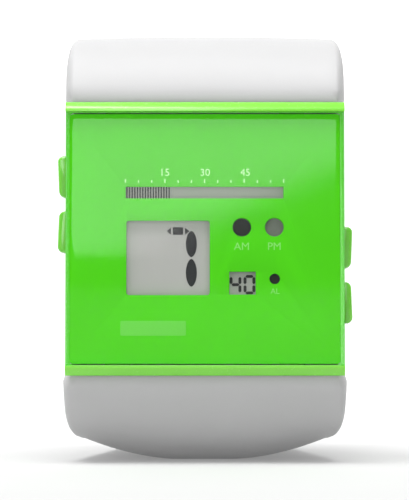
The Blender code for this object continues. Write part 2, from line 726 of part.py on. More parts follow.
def make_button(name, side, u, case, look):
    """A cap on a stem, with its seal, return spring and retaining clip. Its empty is on the joint's axis."""
    place = bpy.data.objects.new(f"button_{name}_place", None)
    bpy.context.scene.collection.objects.link(place)
    place.parent = case
    place.location = Vector((0, BUTTON_V, u)) * MM

    face = CASE_HALF_WIDTH + BUTTON_OUT
    h = BUTTON_TALL / 2
    # The outer face of each cap leans towards the other cap of its pair.
    lean = BUTTON_SLANT if name.startswith("upper") else -BUTTON_SLANT
    section = [(CAP_INNER_X, -h), (face - 0.5 - lean, -h), (face - lean * 0.9, 0.5 - h)]
    section += [(face + lean * 0.9, h - 0.5), (face - 0.5 + lean, h), (CAP_INNER_X, h)]
    section = [(side * x, z) for x, z in section]
    cap = prism(section, "y", -BUTTON_DEEP / 2, BUTTON_DEEP / 2)
    button = finish(f"button_{name}", cap, place, look["green"])
    corner = button.modifiers.new("round_corners", "BEVEL")
    corner.width = 0.35 * MM
    corner.segments = 2
    stem = [(CAP_INNER_X + 0.5, 0.01), (CAP_INNER_X + 0.5, STEM_RADIUS), (ORING_X + 0.32, STEM_RADIUS)]
    stem += [(ORING_X + 0.32, GROOVE_RADIUS), (ORING_X - 0.32, GROOVE_RADIUS), (ORING_X - 0.32, STEM_RADIUS)]
    stem += [(CLIP_X[1] + 0.05, STEM_RADIUS), (CLIP_X[1] + 0.05, GROOVE_RADIUS)]
    stem += [(CLIP_X[0] - 0.05, GROOVE_RADIUS), (CLIP_X[0] - 0.05, 0.8), (STEM_END_X, 0.8), (STEM_END_X, 0.01)]
    join(button, revolve([(side * x, r) for x, r in stem], 14))

    ring = [(side * (ORING_X + 0.2 * c), 0.77 + 0.2 * s) for c, s in circle((0, 0), 1.0, 6)]
    finish(f"button_seal_{name}", revolve(ring, 14), place, look["rubber"])
    clip_outline = arc((0, 0), 1.35, 0.5, 2 * math.pi - 0.5, 12)
    clip_outline += arc((0, 0), 0.6, 2 * math.pi - 0.9, 0.9, 10)
    low, high = sorted((side * CLIP_X[0], side * CLIP_X[1]))
    finish(f"button_clip_{name}", prism(clip_outline, "x", low, high), place, look["steel"])
    length = CAP_INNER_X - SPRING_SEAT_X - 0.4
    start = (side * (SPRING_SEAT_X + 0.2), 0, 0)
    coil(f"button_spring_{name}", place, look["steel"], start, (side * length, 0, 0), 1.2, 0.13, 2.75, 10)


def make_hinge_bar(name, sign, case, look):
    """A sprung pin: a thick barrel in the strap, and thin tips in the case's lugs."""
    barrel, tip = LUG_X[0] - 0.3, LUG_X[1] - 0.9
    r, t = BAR_RADIUS, BAR_RADIUS / 2
    profile = [(-tip, 0.01), (-tip, t), (-barrel, t), (-barrel, r), (barrel, r), (barrel, t), (tip, t), (tip, 0.01)]
    mesh = moved(revolve(profile, ROUND), (0, HINGE_V, sign * HINGE_U))
    finish(name, mesh, case, look["steel"])


def empty(name, parent, place):
    """An axis or a frame that isn't a part. Place is (x, y, z) in the parent's frame."""
    made = bpy.data.objects.new(name, None)
    bpy.context.scene.collection.objects.link(made)
    made.parent = parent
    made.location = Vector(place) * MM
    return made


def main():
    clear_scene()
    look = make_materials()
    case = empty("case_frame", None, (0, CASE_Y, CASE_CENTRE_Z))
    case.rotation_euler.x = -LEAN
    make_housing(case, look)
    make_lens(case, look)
    make_mask(case, look)
    make_module(case, look)
    make_back(case, look)
    for name, (side, u) in BUTTONS.items():
        make_button(name, side, u, case, look)
    make_hinge_bar("spring_bar_upper", 1, case, look)
    make_hinge_bar("spring_bar_lower", -1, case, look)

    lower = empty("lower_hinge", None, (0, *LOWER_HINGE))
    make_lower_strap(lower, look)
    upper = empty("upper_hinge", None, (0, *UPPER_HINGE))
    _, bar = make_upper_strap(upper, look)
    buckle = empty("buckle_hinge", upper, (0, *bar))
    tongue = empty("tongue_hinge", buckle, (0, 0, 0))
    make_buckle(upper, buckle, tongue, bar, look)
    keeper = empty("keeper_place", upper, (0, bar[0], bar[1] - BUCKLE_BAR_UP + KEEPER_CENTRE_UP))
    make_keeper(keeper, look)


main()
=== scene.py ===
"""Looks of the wrist-worn round timer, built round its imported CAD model.

The case has its own frame, which leans back: x across the face, v into the depth from the front of the
lens, u up the face. Sizes here are in millimetres and become metres where a mesh is made.
"""

import json
import math

import bmesh
import bpy
from mathutils import Matrix, Vector


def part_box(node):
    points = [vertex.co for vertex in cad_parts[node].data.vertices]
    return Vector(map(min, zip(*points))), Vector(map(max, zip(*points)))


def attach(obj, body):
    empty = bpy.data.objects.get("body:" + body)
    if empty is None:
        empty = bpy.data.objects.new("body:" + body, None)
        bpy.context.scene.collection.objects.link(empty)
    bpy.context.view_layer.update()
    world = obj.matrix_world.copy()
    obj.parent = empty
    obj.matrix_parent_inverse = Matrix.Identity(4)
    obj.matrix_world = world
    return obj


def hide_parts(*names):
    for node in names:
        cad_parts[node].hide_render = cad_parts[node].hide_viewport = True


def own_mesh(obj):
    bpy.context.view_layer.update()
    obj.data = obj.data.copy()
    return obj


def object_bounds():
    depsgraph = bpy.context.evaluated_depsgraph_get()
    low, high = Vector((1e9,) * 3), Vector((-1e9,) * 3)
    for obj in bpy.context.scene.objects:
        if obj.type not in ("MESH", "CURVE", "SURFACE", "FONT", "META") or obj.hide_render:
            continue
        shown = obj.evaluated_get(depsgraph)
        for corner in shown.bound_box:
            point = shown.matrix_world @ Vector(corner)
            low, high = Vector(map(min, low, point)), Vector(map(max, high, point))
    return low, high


MM = 0.001
LEAN = math.radians(4.0)

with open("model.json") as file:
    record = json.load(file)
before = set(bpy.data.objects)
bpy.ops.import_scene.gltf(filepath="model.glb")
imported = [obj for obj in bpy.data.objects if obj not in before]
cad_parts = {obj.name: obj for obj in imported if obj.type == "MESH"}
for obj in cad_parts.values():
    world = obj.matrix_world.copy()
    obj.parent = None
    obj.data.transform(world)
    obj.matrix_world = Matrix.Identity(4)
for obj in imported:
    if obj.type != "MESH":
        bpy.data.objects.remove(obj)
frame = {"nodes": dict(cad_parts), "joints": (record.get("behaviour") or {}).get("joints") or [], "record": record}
cad_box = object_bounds()


# ---------------------------------------------------------------- where things are


def mount(name):
    return next(m for m in frame["record"]["mounts"] if m["name"] == name)


def joint_point(name):
    return Vector(next(j for j in frame["joints"] if j["name"] == name)["pos_m"])


BACK_V = 12.1  # depth of the case back's outer face
back_face = mount("case_back_face")
case_origin = Vector(back_face["pos_m"]) - Vector(back_face["axis"]) * BACK_V * MM
CASE = Matrix.Translation(case_origin) @ Matrix.Rotation(-LEAN, 4, "X")
UPPER_HINGE = joint_point("upper_strap_hinge")
LOWER_HINGE = joint_point("lower_strap_hinge")
BUCKLE_HINGE = joint_point("buckle_hinge")

# The face, in the case's frame
LENS_RADIUS = 90.0
LENS_HALF_WIDTH = 18.85
LENS_HALF_HEIGHT = 17.1
LENS_BACK_V = 2.6
MASK_V = (2.9, 3.5)
MASK_HALF = (18.35, 17.0)
PANEL_V = 3.8
BAR_WINDOW = ((-10.85, 5.45), (10.72, 7.13), 0.1)
HOUR_WINDOW = ((-10.74, -7.73), (0.68, 2.5), 0.4)
MINUTE_WINDOW = ((3.26, -7.67), (6.93, -4.46), 0.1)
ROUND_WINDOWS = ((5.01, 1.55, 1.31), (9.43, 1.55, 1.31), (9.48, -5.49, 0.76))


# ---------------------------------------------------------------- materials


class Nodes:
    """A material's node tree, and short calls that add to it."""

    def __init__(self, name):
        self.material = bpy.data.materials.new(name)
        self.material.use_nodes = True
        self.tree = self.material.node_tree
        self.shader = self.tree.nodes["Principled BSDF"]
        self.output = self.tree.nodes["Material Output"]
        coordinates = self.add("ShaderNodeTexCoord")
        self.place = coordinates.outputs["Object"]

    def add(self, kind, **values):
        node = self.tree.nodes.new(kind)
        for key, value in values.items():
            setattr(node, key, value)
        return node

    def link(self, source, target):
        self.tree.links.new(source, target)

    def set(self, **values):
        for key, value in values.items():
            self.shader.inputs[key.replace("_", " ")].default_value = value

    def noise(self, scale, detail=3.0, roughness=0.5, stretch=None):
        """Noise whose scale counts features per metre."""
        node = self.add("ShaderNodeTexNoise")
        node.inputs["Scale"].default_value = scale
        node.inputs["Detail"].default_value = detail
        node.inputs["Roughness"].default_value = roughness
        place = self.place
        if stretch:
            mapping = self.add("ShaderNodeMapping")
            mapping.inputs["Scale"].default_value = stretch
            self.link(self.place, mapping.inputs["Vector"])
            place = mapping.outputs["Vector"]
        self.link(place, node.inputs["Vector"])
        return node.outputs["Fac"]

    def remap(self, value, low, high, from_low=0.3, from_high=0.7):
        node = self.add("ShaderNodeMapRange")
        node.inputs["From Min"].default_value = from_low
        node.inputs["From Max"].default_value = from_high
        node.inputs["To Min"].default_value = low
        node.inputs["To Max"].default_value = high
        self.link(value, node.inputs["Value"])
        return node.outputs["Result"]

    def ramp(self, value, *stops):
        node = self.add("ShaderNodeValToRGB")
        elements = node.color_ramp.elements
        while len(elements) < len(stops):
            elements.new(0.5)
        for element, (at, colour) in zip(elements, stops):
            element.position = at
            element.color = (*colour, 1.0)
        self.link(value, node.inputs["Fac"])
        return node.outputs["Color"]

    def bump(self, height, distance, strength=1.0):
        node = self.add("ShaderNodeBump")
        node.inputs["Distance"].default_value = distance
        node.inputs["Strength"].default_value = strength
        self.link(height, node.inputs["Height"])
        self.link(node.outputs["Normal"], self.shader.inputs["Normal"])
        return node


def shade(colour, factor):
    return tuple(c * factor for c in colour)


def plastic(
    name, colour, roughness, spread=0.06, grain=2500.0, depth=0.000004, tone=0.06, coat=0.0, gloss=0.5
):
    """Moulded plastic: a little mottling in its colour, and a fine grain in its gloss and surface."""
    m = Nodes(name)
    mottle = m.noise(180.0, 4.0)
    m.link(m.ramp(mottle, (0.3, shade(colour, 1 - tone)), (0.7, colour)), m.shader.inputs["Base Color"])
    fine = m.noise(grain, 2.0)
    m.link(m.remap(fine, roughness - spread, roughness + spread), m.shader.inputs["Roughness"])
    m.bump(fine, depth)
    m.set(Specular_IOR_Level=gloss)
    if coat:
        m.set(Coat_Weight=coat, Coat_Roughness=0.06)
    return m


def metal(name, colour, roughness, along, depth=0.000003):
    """Brushed metal, its lines along one axis."""
    m = Nodes(name)
    stretch = [1.0, 1.0, 1.0]
    stretch["xyz".index(along)] = 0.02
    lines = m.noise(9000.0, 3.0, stretch=stretch)
    tone = m.ramp(lines, (0.3, shade(colour, 0.82)), (0.7, colour))
    m.link(tone, m.shader.inputs["Base Color"])
    m.link(m.remap(lines, roughness - 0.08, roughness + 0.1), m.shader.inputs["Roughness"])
    m.bump(lines, depth)
    m.set(Metallic=1.0)
    return m


def soft_rubber(name, colour, roughness=0.5):
    """Silicone strap: a matt skin with a fine grain, faint flow marks and a slight sheen."""
    m = Nodes(name)
    flow = m.noise(70.0, 3.0, stretch=(0.4, 1.0, 1.0))
    m.link(m.ramp(flow, (0.3, shade(colour, 0.965)), (0.7, colour)), m.shader.inputs["Base Color"])
    fine = m.noise(4200.0, 4.0, 0.6)
    m.link(m.remap(fine, roughness - 0.07, roughness + 0.09), m.shader.inputs["Roughness"])
    m.bump(fine, 0.000012)
    m.set(Subsurface_Weight=0.12, Subsurface_Scale=0.002, Sheen_Weight=0.06)
    m.shader.inputs["Subsurface Radius"].default_value = (1.0, 0.95, 0.9)
    return m


def clear_cover(name, tint):
    """The clear lens: what's behind shows through, and its surface reflects as polished plastic does."""
    m = Nodes(name)
    through = m.add("ShaderNodeBsdfTransparent")
    through.inputs["Color"].default_value = (*tint, 1.0)
    gloss = m.add("ShaderNodeBsdfGlossy")
    gloss.inputs["Roughness"].default_value = LENS_GLOSS
    fresnel = m.add("ShaderNodeFresnel")
    fresnel.inputs["IOR"].default_value = 1.49
    mix = m.add("ShaderNodeMixShader")
    # Only the outward faces reflect: light leaves through the inner ones without loss.
    outward = m.add("ShaderNodeMath", operation="SUBTRACT")
    outward.inputs[0].default_value = 1.0
    m.link(m.add("ShaderNodeNewGeometry").outputs["Backfacing"], outward.inputs[1])
    share = m.add("ShaderNodeMath", operation="MULTIPLY")
    m.link(fresnel.outputs["Fac"], share.inputs[0])
    m.link(outward.outputs["Value"], share.inputs[1])
    m.link(share.outputs["Value"], mix.inputs["Fac"])
    m.link(through.outputs["BSDF"], mix.inputs[1])
    m.link(gloss.outputs["BSDF"], mix.inputs[2])
    m.link(mix.outputs["Shader"], m.output.inputs["Surface"])
    m.tree.nodes.remove(m.shader)
    return m


LENS_GLOSS = 0.09
BEHIND_LENS = 0.0  # what the lens covers has no gloss of its own
COVERED = {"depth": 0.000001, "gloss": BEHIND_LENS}
OVERHEAD_POWER = 14.5
PANEL_POWER = 2.5
STRIP_POWER = 1.0
FILL_POWER = 0.6
WORLD_LIGHT = 0.33
STAGE_GLOW = 0.85
FLOOR_GREY = (0.48, 0.48, 0.48)
GREEN = (0.072, 0.61, 0.0)
RIM_GREEN = (0.2, 0.7, 0.045)
STRAP_WHITE = (0.47, 0.47, 0.473)
LCD_GREY = (0.47, 0.445, 0.47)
LCD_DARK = (0.035, 0.035, 0.04)


def make_materials():
    looks = {
        "green": plastic("green_face", GREEN, 0.35, tone=0.03, gloss=BEHIND_LENS),
        "wall": plastic("green_wall", GREEN, 0.24, depth=0.000003, tone=0.04, coat=0.4),
        "rim": plastic("green_case", RIM_GREEN, 0.22, depth=0.000003, tone=0.04, coat=0.5),
        "button": plastic("green_button", shade(RIM_GREEN, 0.8), 0.2, tone=0.05, coat=0.6),
        "lens": clear_cover("clear_lens", (0.985, 1.0, 0.975)),
        "strap": soft_rubber("strap_rubber", STRAP_WHITE),
        "steel": metal("brushed_steel", (0.63, 0.62, 0.6), 0.3, "x"),
        "plate": metal("back_plate_steel", (0.6, 0.6, 0.59), 0.34, "z"),
        "cell": metal("cell_steel", (0.66, 0.65, 0.63), 0.22, "x"),
        "brass": metal("sprung_brass", (0.75, 0.55, 0.24), 0.28, "z"),
        "lcd": plastic("display_glass", LCD_GREY, 0.18, spread=0.03, tone=0.05, **COVERED),
        "segment": plastic("display_segment", LCD_DARK, 0.3, spread=0.03, tone=0.1, **COVERED),
        "faint": plastic("display_off", shade(LCD_GREY, 0.52), 0.3, spread=0.03, **COVERED),
        "ink": plastic("pale_ink", (0.27, 0.74, 0.17), 0.45, tone=0.04, **COVERED),
        "numeral": plastic("paler_ink", (0.6, 0.89, 0.5), 0.45, tone=0.04, **COVERED),
        "strip": plastic("pale_strip", (0.11, 0.63, 0.03), 0.5, tone=0.03),
        "film": plastic("backlight_film", (0.72, 0.78, 0.74), 0.5, tone=0.04),
        "board": plastic("solder_mask", (0.02, 0.15, 0.06), 0.38, tone=0.25, grain=1500.0),
        "epoxy": plastic("epoxy", (0.015, 0.015, 0.016), 0.22, tone=0.3, depth=0.00001),
        "frame": plastic("module_plastic", (0.7, 0.7, 0.66), 0.45, tone=0.05, depth=0.000008),
        "rubber": plastic("seal_rubber", (0.02, 0.02, 0.02), 0.55, tone=0.2, depth=0.00001),
    }
    button = looks["button"]
    button.set(Subsurface_Weight=0.35, Subsurface_Scale=0.0012)
    button.shader.inputs["Subsurface Radius"].default_value = (0.4, 1.0, 0.2)
    return {key: value.material for key, value in looks.items()}


# ---------------------------------------------------------------- mesh helpers


def arc(centre, radius, start, end, steps):
    angles = [start + (end - start) * i / steps for i in range(steps + 1)]
    return [(centre[0] + radius * math.cos(a), centre[1] + radius * math.sin(a)) for a in angles]


def circle(centre, radius, sides=64):
    return arc(centre, radius, 0.0, 2 * math.pi, sides)[:-1]


def rounded(low, high, radius, steps=6):
    corners = (
        (high[0] - radius, high[1] - radius),
        (low[0] + radius, high[1] - radius),
        (low[0] + radius, low[1] + radius),
        (high[0] - radius, low[1] + radius),
    )
    points = []
    for quarter, centre in enumerate(corners):
        points += arc(centre, radius, quarter * math.pi / 2, (quarter + 1) * math.pi / 2, steps)
    return points


def rectangle(low, high):
    return [(low[0], low[1]), (high[0], low[1]), (high[0], high[1]), (low[0], high[1])]


def new_piece(name, mesh, surface, body, slot, *replaced, smooth=35.0):
    """An object of this mesh that rides on a body and may stand for CAD nodes; its slot argument is not used."""
    obj = bpy.data.objects.new(name, mesh)
    bpy.context.scene.collection.objects.link(obj)
    mesh.materials.clear()
    mesh.materials.append(surface)
    mesh.shade_smooth()
    mesh.set_sharp_from_angle(angle=math.radians(smooth))
    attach(obj, body)
    if replaced:
        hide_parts(*replaced)
    return obj


def mesh_of(bm, name, matrix=None):
    """The bmesh as a mesh in metres: its points are in millimetres, in the frame that the matrix gives."""
    bmesh.ops.recalc_face_normals(bm, faces=bm.faces)
    mesh = bpy.data.meshes.new(name)
    bm.to_mesh(mesh)
    bm.free()
    mesh.transform(Matrix.Scale(MM, 4))
    if matrix is not None:
        mesh.transform(matrix)
    return mesh


def slabs(name, outlines, low, high, matrix):
    """Flat shapes in the (x, u) plane, each given its thickness between two depths."""
    bm = bmesh.new()
    for outline in outlines:
        ends = [[bm.verts.new((a, v, b)) for a, b in outline] for v in (low, high)]
        bm.faces.new(ends[0])
        bm.faces.new(reversed(ends[1]))
        count = len(outline)
        for i in range(count):
            j = (i + 1) % count
            bm.faces.new((ends[0][i], ends[1][i], ends[1][j], ends[0][j]))
    return mesh_of(bm, name, matrix)


def plate_with_holes(name, outline, holes, low, high, edge, matrix):
    """A plate whose rim and holes have small round edges, made from a filled curve."""
    curve = bpy.data.curves.new(name, "CURVE")
    curve.dimensions = "2D"
    curve.fill_mode = "BOTH"
    curve.extrude = (high - low) / 2 - edge
    curve.bevel_depth = edge
    curve.bevel_resolution = 2
    for points in [outline] + list(holes):
        spline = curve.splines.new("POLY")
        spline.points.add(len(points) - 1)
        for point, (a, b) in zip(spline.points, points):
            point.co = (a, b, 0.0, 1.0)
        spline.use_cyclic_u = True
    holder = bpy.data.objects.new(name, curve)
    bpy.context.scene.collection.objects.link(holder)
    mesh = mesh_from_object(holder, name)
    upright = Matrix.Translation((0, (low + high) / 2, 0)) @ Matrix.Rotation(math.pi / 2, 4, "X")
    mesh.transform(upright)
    mesh.transform(Matrix.Scale(MM, 4))
    mesh.transform(matrix)
    return mesh


def mesh_from_object(obj, name):
    """The object's evaluated mesh, as a mesh of its own. The object itself is removed."""
    bpy.context.view_layer.update()
    graph = bpy.context.evaluated_depsgraph_get()
    mesh = bpy.data.meshes.new_from_object(obj.evaluated_get(graph), depsgraph=graph)
    mesh.name = name
    bpy.data.objects.remove(obj)
    return mesh


def weld(mesh, distance=0.000002):
    bm = bmesh.new()
    bm.from_mesh(mesh)
    bmesh.ops.remove_doubles(bm, verts=bm.verts, dist=distance)
    bm.to_mesh(mesh)
    bm.free()


def softened(node, width, segments=3, angle=28.0):
    """A copy of a CAD node's mesh with its flat faces whole again and its edges rounded off."""
    mesh = frame["nodes"][node].data.copy()
    bm = bmesh.new()
    bm.from_mesh(mesh)
    bmesh.ops.remove_doubles(bm, verts=bm.verts, dist=0.000004)
    bmesh.ops.dissolve_limit(bm, angle_limit=math.radians(1.0), verts=bm.verts, edges=bm.edges)
    bm.to_mesh(mesh)
    bm.free()
    holder = bpy.data.objects.new(node + "_soft", mesh)
    bpy.context.scene.collection.objects.link(holder)
    bevel = holder.modifiers.new("edges", "BEVEL")
    bevel.width = width * MM
    bevel.segments = segments
    bevel.limit_method = "ANGLE"
    bevel.angle_limit = math.radians(angle)
    bevel.harden_normals = False
    return mesh_from_object(holder, node + "_soft")


# ---------------------------------------------------------------- the face


def make_lens(look):
    """One curved piece, with round edges all round."""
    steps = 48
    h, w = LENS_HALF_HEIGHT, LENS_HALF_WIDTH
    bm = bmesh.new()
    rows = []
    edge = 0.9
    support = 0.2
    # The support column inside each round edge keeps the front's shading flat from side to side.
    side = ((w, 1.0), (w - 0.15, 0.55), (w - 0.4, 0.15), (w - edge, 0.0), (w - edge - support, 0.0))
    across = [-x for x, _ in side] + [0.0] + [x for x, _ in reversed(side)]
    drop = [d for _, d in side] + [0.0] + [d for _, d in reversed(side)]
    for i in range(steps + 1):
        u = -h + 2 * h * i / steps
        near = LENS_RADIUS - math.sqrt(LENS_RADIUS**2 - u**2)
        end = max(0.0, (abs(u) - h + 0.35) / 0.35)
        sag = 0.12 * (1 - math.sqrt(max(0.0, 1 - end**2)))
        rows.append([bm.verts.new((x, near + sag + 0.5 * d, u)) for x, d in zip(across, drop)])
    back = [[bm.verts.new((x, LENS_BACK_V, u)) for x in (-w, w)] for u in (-h, h)]
    for low, high in zip(rows, rows[1:]):
        for i in range(len(across) - 1):
            bm.faces.new((low[i], low[i + 1], high[i + 1], high[i]))
    bm.faces.new((back[0][0], back[0][1], back[1][1], back[1][0]))
    bm.faces.new([*rows[0], back[0][1], back[0][0]])
    bm.faces.new([*rows[-1], back[1][1], back[1][0]])
    bm.faces.new([*[row[0] for row in rows], back[1][0], back[0][0]])
    bm.faces.new([*[row[-1] for row in rows], back[1][1], back[0][1]])
    mesh = mesh_of(bm, "lens", CASE)
    new_piece("lens_cover", mesh, look["lens"], "case", "clear_lens", "crystal_lens", smooth=50.0)


def make_face(look):
    """The green plate behind the lens, with its windows, and what is printed on it."""
    holes = [rounded(*window[:2], window[2]) for window in (BAR_WINDOW, HOUR_WINDOW, MINUTE_WINDOW)]
    holes += [circle((x, u), r) for x, u, r in ROUND_WINDOWS]
    a, b = MASK_HALF
    outline = rounded((-a, -b), (a, b), 0.4)
    mesh = plate_with_holes("face_plate", outline, holes, *MASK_V, 0.04, CASE)
    weld(mesh)
    new_piece("face_plate", mesh, look["green"], "case", "face_print", "face_mask")

    front = (MASK_V[0] - 0.02, MASK_V[0] + 0.02)
    ticks = []
    first, last = BAR_WINDOW[0][0], BAR_WINDOW[1][0]
    for i in range(13):
        x = first + (last - first) * i / 12
        top = 8.0 if i % 3 else 8.15
        ticks.append(rectangle((x - 0.07, 7.6), (x + 0.07, top)))
    mesh = slabs("minute_ticks", ticks, *front, CASE)
    new_piece("seconds_ticks", mesh, look["numeral"], "case", "face_print")
    mesh = slabs("name_strip", [rounded((-11.5, -13.2), (-2.6, -11.2), 0.15)], *front, CASE)
    new_piece("blank_strip", mesh, look["strip"], "case", "face_print")

    labels = (
        ("15", -5.5, 9.0, 1.05),
        ("30", 0.0, 9.0, 1.05),
        ("45", 5.5, 9.0, 1.05),
        ("AM", 5.0, -1.1, 1.1),
        ("PM", 9.43, -1.1, 1.1),
        ("AL", 9.52, -7.2, 0.8),
    )
    for text, x, u, size in labels:
        mesh = lettering(text, x, u, size, front)
        ink = look["numeral" if text.isdigit() else "ink"]
        new_piece("label_" + text.lower(), mesh, ink, "case", "face_print")


def lettering(text, x, u, size, depth):
    """Plain printed characters, centred on a point of the face."""
    curve = bpy.data.curves.new("label", "FONT")
    curve.body = text
    curve.size = size * 1.35
    curve.align_x = "CENTER"
    curve.align_y = "CENTER"
    curve.extrude = (depth[1] - depth[0]) / 2
    curve.resolution_u = 4
    holder = bpy.data.objects.new("label", curve)
    bpy.context.scene.collection.objects.link(holder)
    mesh = mesh_from_object(holder, "label_" + text.lower())
    mesh.transform(Matrix.Rotation(math.pi / 2, 4, "X"))
    mesh.transform(Matrix.Translation((x, (depth[0] + depth[1]) / 2, u)))
    mesh.transform(Matrix.Scale(MM, 4))
    mesh.transform(CASE)
    return mesh


# ---------------------------------------------------------------- the display


def pointed_oval(centre, half_width, half_height, steps=10):
    """A display segment with two points and two bowed sides."""
    x, u = centre
    turns = [math.pi * i / steps for i in range(1, steps)]
    right = [(x + half_width * math.sin(a) ** 1.15, u - half_height * math.cos(a)) for a in turns]
    left = [(2 * x - a, b) for a, b in reversed(right)]
    return [(x, u - half_height), *right, (x, u + half_height), *left]


def bar_segment(start, end, half):
    """A straight display segment with pointed ends."""
    (ax, au), (bx, bu) = start, end
    length = math.hypot(bx - ax, bu - au)
    dx, du = (bx - ax) / length, (bu - au) / length
    nx, nu = -du * half, dx * half
    shoulder = half * 0.9
    ca = (ax + dx * shoulder, au + du * shoulder)
    cb = (bx - dx * shoulder, bu - du * shoulder)
    return [
        (ax, au),
        (ca[0] + nx, ca[1] + nu),
        (cb[0] + nx, cb[1] + nu),
        (bx, bu),
        (cb[0] - nx, cb[1] - nu),
        (ca[0] - nx, ca[1] - nu),
    ]


def digit(left, bottom, width, height, lit, half=0.2):
    """The lit segments of a seven-segment digit."""
    right, top, middle = left + width, bottom + height, bottom + height / 2
    gap = 0.05
    places = {
        "a": ((left + gap, top), (right - gap, top)),
        "b": ((right, top - gap), (right, middle + gap)),
        "c": ((right, middle - gap), (right, bottom + gap)),
        "d": ((left + gap, bottom), (right - gap, bottom)),
        "e": ((left, middle - gap), (left, bottom + gap)),
        "f": ((left, top - gap), (left, middle + gap)),
        "g": ((left + gap, middle), (right - gap, middle)),
    }
    return [bar_segment(*places[key], half) for key in lit]


def make_display(look):
    """What the display shows: seconds so far, the hour, the minutes and the morning mark."""
    shapes = []
    first = BAR_WINDOW[0][0]
    for i in range(17):
        x = first + 0.1 + 0.36 * i
        shapes.append(rectangle((x, 5.2), (x + 0.2, 7.4)))
    shapes.append([(-5.23, 1.08), (-4.65, 0.59), (-4.65, 1.57)])
    shapes.append(rectangle((-4.39, 0.58), (-2.97, 1.62)))
    shapes.append([(-2.74, 1.57), (-2.74, 0.59), (-2.11, 1.08)])
    shapes.append(pointed_oval((-1.86, -0.68), 0.76, 1.8))
    shapes.append(pointed_oval((-1.86, -4.6), 0.76, 1.9))
    shapes += digit(3.55, -7.35, 1.2, 2.25, "bcfg")
    shapes += digit(5.45, -7.35, 1.2, 2.25, "abcdef")
    front = (PANEL_V - 0.03, PANEL_V + 0.02)
    mesh = slabs("segments", shapes, *front, CASE)
    new_piece("display_segments", mesh, look["segment"], "case", "display")
    discs = [circle((x, u), r + 0.5) for x, u, r in (ROUND_WINDOWS[0], ROUND_WINDOWS[2])]
    mesh = slabs("dark_discs", discs, *front, CASE)
    new_piece("display_dark_marks", mesh, look["segment"], "case", "display")
    mesh = slabs("faint_disc", [circle((9.43, 1.55), 1.8)], *front, CASE)
    new_piece("display_faint_mark", mesh, look["faint"], "case", "display")


# ---------------------------------------------------------------- straps

HINGE_RADIUS = 3.1
STRAP_FALL = math.radians(22.0)
LOWER_REST = 28.0
LOWER_CURL = 25.0
LOWER_TAIL = 20.0
UPPER_BACK = 24.0
UPPER_END = 20.0
LOWER_WIDTHS = ((0, 19.4), (8, 19.15), (14, 18.3), (20, 17.7), (40, 13.8), (64, 10.8), (200, 10.8))
UPPER_WIDTHS = ((0, 19.1), (6, 19.1), (12, 18.75), (17, 18.0), (30, 15.0), (50, 11.0), (200, 11.0))
LOWER_THICK = ((0, 6.2), (4, 5.0), (14, 3.6), (60, 2.6), (200, 2.6))
UPPER_THICK = ((0, 6.2), (4, 5.0), (12, 3.6), (50, 3.0), (200, 3.0))
LOWER_CROWN = ((0, 0.0), (16, 1.0), (200, 1.0))
UPPER_CROWN = ((0, 0.0), (13, 0.07), (18, 0.12), (36, 1.0), (46, 0.0), (200, 0.0))
CROWN_FLAT = 4.0
CROWN_SCALE = 0.0335
CROWN_POWER = 1.75
INNER_CROWN = 0.4
TIP_LENGTH = 10.0
TAIL_HOLES = 7
TAIL_HOLE_PITCH = 6.0
TAIL_HOLE_RADIUS = 1.1
LUG_X = (10.4, 13.4)
LUG_ROOM = 2.05
BAR_RADIUS = 0.9
EDGE_STEPS = 12


def smooth_between(stations, at):
    """The value at a length along a list of (length, value), with its corners eased."""
    reach = 2.5
    samples = [at + reach * (i / 4 - 1) for i in range(9)]
    total = 0.0
    for sample in samples:
        total += between(stations, max(0.0, sample))
    return total / len(samples)


def between(stations, at):
    for (a, low), (b, high) in zip(stations, stations[1:]):
        if at <= b:
            return low + (high - low) * max(0.0, (at - a) / (b - a))
    return stations[-1][1]


class StrapPath:
    """The line of a strap's outer surface in the (y, z) plane, in millimetres from its hinge."""

    def __init__(self, side, fall, steps):
        self.side = side  # +1 for the upper strap, -1 for the lower one
        self.angle = side * (math.pi / 2 - fall)
        self.steps = steps
        self.length = sum(length for length, _ in steps)

    def at(self, s):
        """(y, z) of the outer surface and (y, z) of its outward direction at this length."""
        side, angle = self.side, self.angle
        y, z = -side * math.sin(angle) * HINGE_RADIUS, side * math.cos(angle) * HINGE_RADIUS
        for length, turn in self.steps:
            part = min(s, length)
            bend = -side * turn * part / length
            if abs(bend) > 1e-9:
                radius = part / bend
                y += radius * (math.sin(angle + bend) - math.sin(angle))
                z -= radius * (math.cos(angle + bend) - math.cos(angle))
            else:
                y += part * math.cos(angle)
                z += part * math.sin(angle)
            angle += bend
            s -= part
            if s <= 1e-9:
                break
        return y, z, -side * math.sin(angle), side * math.cos(angle)


def lower_path():
    fall = STRAP_FALL - LEAN
    start = math.pi / 2 - fall
    bend = (LOWER_HINGE.z / MM - HINGE_RADIUS * math.cos(start)) / (1 - math.cos(start))
    curl = math.radians(96.0)
    steps = [(bend * start, start), (LOWER_REST, 0.0), (LOWER_CURL * curl, curl), (LOWER_TAIL, 0.0)]
    return StrapPath(-1, fall, steps)


def upper_path():
    fall = STRAP_FALL + LEAN
    start = math.pi / 2 - fall
    top = cad_box[1][2] / MM
    bend = (top - UPPER_HINGE.z / MM - HINGE_RADIUS * math.cos(start)) / (1 - math.cos(start))
    steps = [(bend * start, start), (UPPER_BACK * math.pi / 2, math.pi / 2), (UPPER_END, 0.0)]
    return StrapPath(1, fall, steps)


def crown(x):
    return CROWN_SCALE * max(0.0, abs(x) - CROWN_FLAT) ** CROWN_POWER


